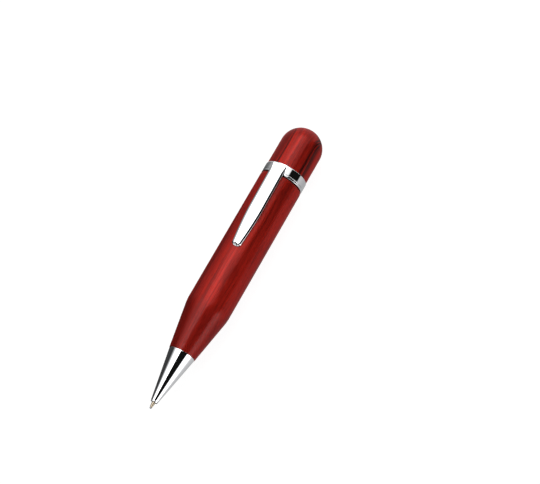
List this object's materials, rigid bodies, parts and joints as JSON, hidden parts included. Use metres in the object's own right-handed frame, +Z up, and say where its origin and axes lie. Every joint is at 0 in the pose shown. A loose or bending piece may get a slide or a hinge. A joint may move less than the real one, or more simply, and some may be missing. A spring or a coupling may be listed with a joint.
{
  "type": "twist ballpoint pen with usb drive",
  "caption": "Stubby lacquered rosewood twist ballpoint pen with chrome nose, ring and spring clip, and a USB plug under its domed pull-off cap.",
  "frame": {"origin": "on the surface that the pen lies on, under the middle of its length and width", "axes": "+X along the pen from its point to its domed cap, +Z up through the clip, +Y to the left seen from the cap end with the clip up"},
  "size_m": [0.116, 0.016, 0.0187],
  "materials": {
    "rosewood": "gloss lacquer",
    "chrome": "polished",
    "brass": "drawn tube",
    "nickel": "bright nickel",
    "gold_plate": "gold flash",
    "black_plastic": "moulded",
    "white_plastic": "moulded",
    "board": "solder mask",
    "chip": "moulded epoxy"
  },
  "bodies": {
    "barrel": {"wood_barrel": "rosewood", "front_liner": "brass", "rear_liner": "brass", "front_bush": "brass", "nose_cone": "chrome", "guide_housing": "white_plastic", "rear_bearing": "nickel"},
    "head": {"clip_ring": "chrome", "drive_holder": "black_plastic", "cam_sleeve": "black_plastic", "retaining_ring": "nickel", "usb_shell": "nickel", "usb_tongue": "black_plastic", "usb_contact_1": "gold_plate", "usb_contact_2": "gold_plate", "usb_contact_3": "gold_plate", "usb_contact_4": "gold_plate", "circuit_board": "board", "memory_chip": "chip", "controller_chip": "chip", "crystal": "nickel", "capacitor_1": "white_plastic", "capacitor_2": "white_plastic"},
    "clip": {"clip_arm": "chrome"},
    "refill": {"refill_tube": "brass", "refill_point": "nickel", "refill_carriage": "black_plastic", "follower_pin": "nickel"},
    "ball": {"writing_ball": "nickel"},
    "cap": {"cap_shell": "rosewood", "cap_liner": "black_plastic"}
  },
  "joints": [
    {"name": "head_twist", "type": "hinge", "parent": "barrel", "child": "head", "pos_m": [0.03535, 0, 0.00798], "axis": [1, 0, 0], "range_deg": [0, 180]},
    {"name": "refill_slide", "type": "slide", "parent": "barrel", "child": "refill", "axis": [1, 0, 0], "range_m": [0, 0.006]},
    {"name": "ball_roll", "type": "hinge", "parent": "refill", "child": "ball", "pos_m": [-0.0576, 0, 0.00798], "axis": [0, 1, 0], "continuous": true},
    {"name": "clip_flex", "type": "hinge", "parent": "head", "child": "clip", "pos_m": [0.0375, 0, 0.01588], "axis": [0, 1, 0], "range_deg": [0, 5], "stiffness_Nm_per_rad": 0.6, "springref_deg": -2.29},
    {"name": "cap_pull", "type": "slide", "parent": "head", "child": "cap", "axis": [1, 0, 0], "range_m": [0, 0.016]}
  ],
  "couplings": [
    {"joint": "refill_slide", "follows": "head_twist", "m_per_rad": 0.001909}
  ]
}
